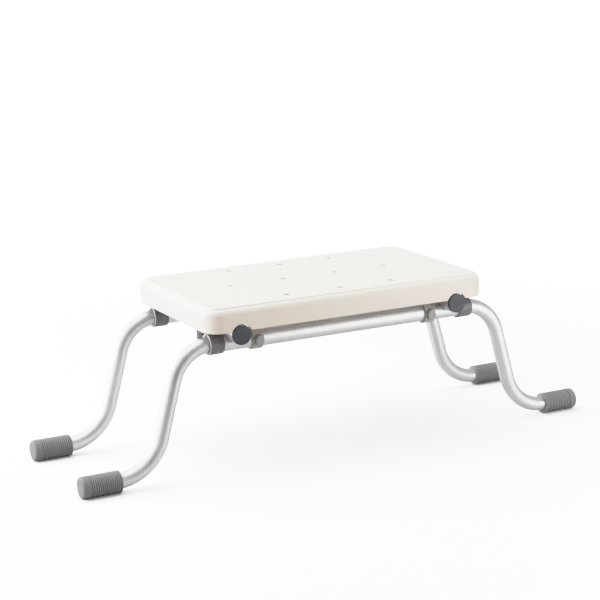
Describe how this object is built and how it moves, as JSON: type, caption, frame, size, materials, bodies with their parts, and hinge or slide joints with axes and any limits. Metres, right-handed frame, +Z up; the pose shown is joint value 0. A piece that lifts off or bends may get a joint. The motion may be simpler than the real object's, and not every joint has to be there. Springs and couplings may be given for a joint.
{
  "type": "bath transfer bench",
  "caption": "Low moulded bath seat on an aluminium tube frame, with S-shaped legs that slide in the rails, turn over and lock with side buttons.",
  "frame": {"origin": "on the floor, under the middle of the seat", "axes": "+X along the rails to the right, +Y from the front rail to the rear rail, +Z up"},
  "size_m": [0.709, 0.2236, 0.2113],
  "materials": {
    "seat_plastic": "cream moulded polypropylene with a fine satin grain",
    "aluminium": "satin clear-anodised drawn tube",
    "grey_plastic": "mid-grey moulded nylon, lightly textured",
    "button_plastic": "light grey moulded nylon, smooth satin",
    "dark_plastic": "charcoal moulded plastic, fine matt grain",
    "foot_rubber": "mid-grey moulded rubber, matt, ribbed",
    "steel": "bright zinc-plated steel"
  },
  "bodies": {
    "frame": {"seat_board": "seat_plastic", "rail_front": "aluminium", "rail_rear": "aluminium", "cross_tube_left": "aluminium", "cross_tube_right": "aluminium", "seat_stud_left": "steel", "seat_stud_right": "steel", "tube_plug_front_left": "dark_plastic", "rail_bush_front_left": "grey_plastic", "lock_collar_front_left": "grey_plastic", "lock_spring_front_left": "steel", "tube_plug_front_right": "dark_plastic", "rail_bush_front_right": "grey_plastic", "lock_collar_front_right": "grey_plastic", "lock_spring_front_right": "steel", "tube_plug_rear_left": "dark_plastic", "rail_bush_rear_left": "grey_plastic", "lock_collar_rear_left": "grey_plastic", "lock_spring_rear_left": "steel", "tube_plug_rear_right": "dark_plastic", "rail_bush_rear_right": "grey_plastic", "lock_collar_rear_right": "grey_plastic", "lock_spring_rear_right": "steel"},
    "slide_front_left": {"guide_plug_front_left": "grey_plastic"},
    "leg_front_left": {"leg_front_left": "aluminium", "foot_front_left": "foot_rubber"},
    "button_front_left": {"lock_button_front_left": "button_plastic", "lock_pin_front_left": "steel"},
    "slide_front_right": {"guide_plug_front_right": "grey_plastic"},
    "leg_front_right": {"leg_front_right": "aluminium", "foot_front_right": "foot_rubber"},
    "button_front_right": {"lock_button_front_right": "button_plastic", "lock_pin_front_right": "steel"},
    "slide_rear_left": {"guide_plug_rear_left": "grey_plastic"},
    "leg_rear_left": {"leg_rear_left": "aluminium", "foot_rear_left": "foot_rubber"},
    "button_rear_left": {"lock_button_rear_left": "button_plastic", "lock_pin_rear_left": "steel"},
    "slide_rear_right": {"guide_plug_rear_right": "grey_plastic"},
    "leg_rear_right": {"leg_rear_right": "aluminium", "foot_rear_right": "foot_rubber"},
    "button_rear_right": {"lock_button_rear_right": "button_plastic", "lock_pin_rear_right": "steel"},
    "knob_left": {"seat_knob_left": "grey_plastic"},
    "knob_right": {"seat_knob_right": "grey_plastic"}
  },
  "joints": [
    {"name": "leg_slide_front_left", "type": "slide", "parent": "frame", "child": "slide_front_left", "axis": [-1, 0, 0], "range_m": [0, 0.05]},
    {"name": "leg_turn_front_left", "type": "hinge", "parent": "slide_front_left", "child": "leg_front_left", "pos_m": [-0.18, -0.0823, 0.1635], "axis": [-1, 0, 0], "range_deg": [0, 180]},
    {"name": "button_press_front_left", "type": "slide", "parent": "frame", "child": "button_front_left", "axis": [0, 1, 0], "range_m": [0, 0.0016], "stiffness_N_per_m": 400, "springref_m": -0.002},
    {"name": "leg_slide_front_right", "type": "slide", "parent": "frame", "child": "slide_front_right", "axis": [1, 0, 0], "range_m": [0, 0.05]},
    {"name": "leg_turn_front_right", "type": "hinge", "parent": "slide_front_right", "child": "leg_front_right", "pos_m": [0.18, -0.0823, 0.1635], "axis": [-1, 0, 0], "range_deg": [0, 180]},
    {"name": "button_press_front_right", "type": "slide", "parent": "frame", "child": "button_front_right", "axis": [0, 1, 0], "range_m": [0, 0.0016], "stiffness_N_per_m": 400, "springref_m": -0.002},
    {"name": "leg_slide_rear_left", "type": "slide", "parent": "frame", "child": "slide_rear_left", "axis": [-1, 0, 0], "range_m": [0, 0.05]},
    {"name": "leg_turn_rear_left", "type": "hinge", "parent": "slide_rear_left", "child": "leg_rear_left", "pos_m": [-0.18, 0.0823, 0.1635], "axis": [1, 0, 0], "range_deg": [0, 180]},
    {"name": "button_press_rear_left", "type": "slide", "parent": "frame", "child": "button_rear_left", "axis": [0, -1, 0], "range_m": [0, 0.0016], "stiffness_N_per_m": 400, "springref_m": -0.002},
    {"name": "leg_slide_rear_right", "type": "slide", "parent": "frame", "child": "slide_rear_right", "axis": [1, 0, 0], "range_m": [0, 0.05]},
    {"name": "leg_turn_rear_right", "type": "hinge", "parent": "slide_rear_right", "child": "leg_rear_right", "pos_m": [0.18, 0.0823, 0.1635], "axis": [1, 0, 0], "range_deg": [0, 180]},
    {"name": "button_press_rear_right", "type": "slide", "parent": "frame", "child": "button_rear_right", "axis": [0, -1, 0], "range_m": [0, 0.0016], "stiffness_N_per_m": 400, "springref_m": -0.002},
    {"name": "knob_turn_left", "type": "hinge", "parent": "frame", "child": "knob_left", "pos_m": [-0.1515, 0, 0.156], "axis": [0, 0, -1], "range_deg": [0, 360]},
    {"name": "knob_turn_right", "type": "hinge", "parent": "frame", "child": "knob_right", "pos_m": [0.1515, 0, 0.156], "axis": [0, 0, -1], "range_deg": [0, 360]}
  ]
}
